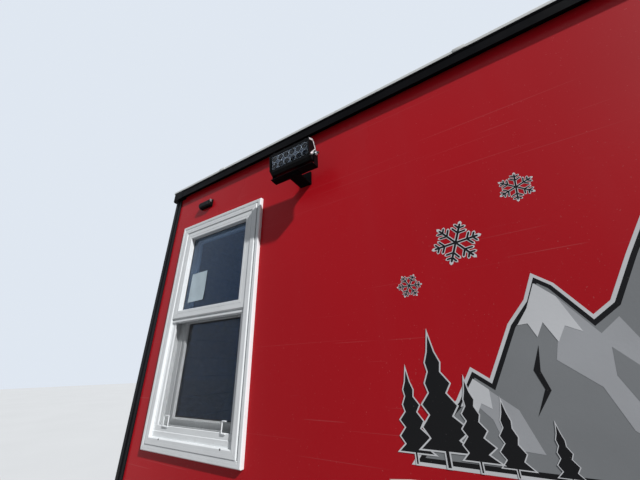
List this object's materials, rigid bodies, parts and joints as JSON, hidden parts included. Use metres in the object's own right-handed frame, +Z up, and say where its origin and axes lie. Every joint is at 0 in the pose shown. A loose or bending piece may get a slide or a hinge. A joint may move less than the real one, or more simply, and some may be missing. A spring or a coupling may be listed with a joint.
{
  "type": "wheeled ice fishing hut",
  "caption": "Towable ice fishing hut: red panelled cabin on tandem wheels with tall sliding windows, an entrance, tilting light bars and a drawbar.",
  "frame": {"origin": "on the ground, under the middle of the whole outline", "axes": "+X from the drawbar to the rear along the longest side, +Y to the entrance side, +Z up"},
  "size_m": [6.3116, 2.7002, 2.7],
  "materials": {
    "frame_steel": "black chassis paint, light texture",
    "zinc_steel": "dull zinc plate",
    "tyre_rubber": "matt rubber with moulded tread",
    "wheel_paint": "white painted steel wheel",
    "well_sheet": "black undercoat",
    "black_trim": "satin black coated aluminium",
    "post_trim": "charcoal coated aluminium",
    "floor_wood": "sealed plywood",
    "white_vinyl": "white extruded vinyl, faint grain",
    "lid_plastic": "grey moulded plastic",
    "red_panel": "glossy deep red panel with fine scratches",
    "lining_wood": "tongue and groove boarding, clear coat",
    "roof_core": "covered roof panel",
    "white_membrane": "white rubber roof sheet",
    "screen_mesh": "charcoal fibreglass insect mesh",
    "window_glass": "clear glass",
    "white_door": "white painted door skin",
    "satin_metal": "satin nickel",
    "marker_plastic": "smoked black lens",
    "tail_plastic": "red moulded lens",
    "bracket_steel": "black powder coat with plain bolts",
    "lamp_black": "black coated die cast aluminium",
    "lamp_reflector": "bright moulded reflectors"
  },
  "bodies": {
    "hut": {"main_rails": "frame_steel", "rim_tubes": "frame_steel", "cross_members": "frame_steel", "drawbar": "frame_steel", "hitch_coupler": "frame_steel", "tongue_jack": "zinc_steel", "jack_leg": "zinc_steel", "swing_arms": "frame_steel", "tyres": "tyre_rubber", "wheel_rims": "wheel_paint", "wheel_wells": "well_sheet", "wheel_arch_trims": "black_trim", "floor_deck": "floor_wood", "hole_collars": "white_vinyl", "hole_lids": "lid_plastic", "street_side_wall": "red_panel", "curb_side_wall": "red_panel", "front_wall": "red_panel", "rear_wall": "red_panel", "interior_lining": "lining_wood", "roof_panel": "roof_core", "roof_membrane": "white_membrane", "roof_edge_rails": "black_trim", "roof_corner_caps": "black_trim", "corner_posts": "post_trim", "bottom_trim": "black_trim", "window_casings": "white_vinyl", "window_frames": "white_vinyl", "window_sashes": "white_vinyl", "screen_frames": "white_vinyl", "insect_screens": "screen_mesh", "window_glass": "window_glass", "door_frame": "white_vinyl", "entrance_door": "white_door", "door_hardware": "satin_metal", "marker_lights": "marker_plastic", "tail_lights": "tail_plastic", "lamp_brackets": "bracket_steel"},
    "street_left_lamp": {"street_left_lamp_housing": "lamp_black", "street_left_lamp_optics": "lamp_reflector"},
    "street_right_lamp": {"street_right_lamp_housing": "lamp_black", "street_right_lamp_optics": "lamp_reflector"},
    "curb_left_lamp": {"curb_left_lamp_housing": "lamp_black", "curb_left_lamp_optics": "lamp_reflector"},
    "curb_right_lamp": {"curb_right_lamp_housing": "lamp_black", "curb_right_lamp_optics": "lamp_reflector"}
  },
  "joints": [
    {"name": "street_left_lamp_tilt", "type": "hinge", "parent": "hut", "child": "street_left_lamp", "pos_m": [-1.1085, -1.305, 2.446], "axis": [1, 0, 0], "range_deg": [-25, 25]},
    {"name": "street_right_lamp_tilt", "type": "hinge", "parent": "hut", "child": "street_right_lamp", "pos_m": [2.1855, -1.305, 2.446], "axis": [1, 0, 0], "range_deg": [-25, 25]},
    {"name": "curb_left_lamp_tilt", "type": "hinge", "parent": "hut", "child": "curb_left_lamp", "pos_m": [2.1855, 1.305, 2.446], "axis": [-1, 0, 0], "range_deg": [-25, 25]},
    {"name": "curb_right_lamp_tilt", "type": "hinge", "parent": "hut", "child": "curb_right_lamp", "pos_m": [-1.1085, 1.305, 2.446], "axis": [-1, 0, 0], "range_deg": [-25, 25]}
  ]
}
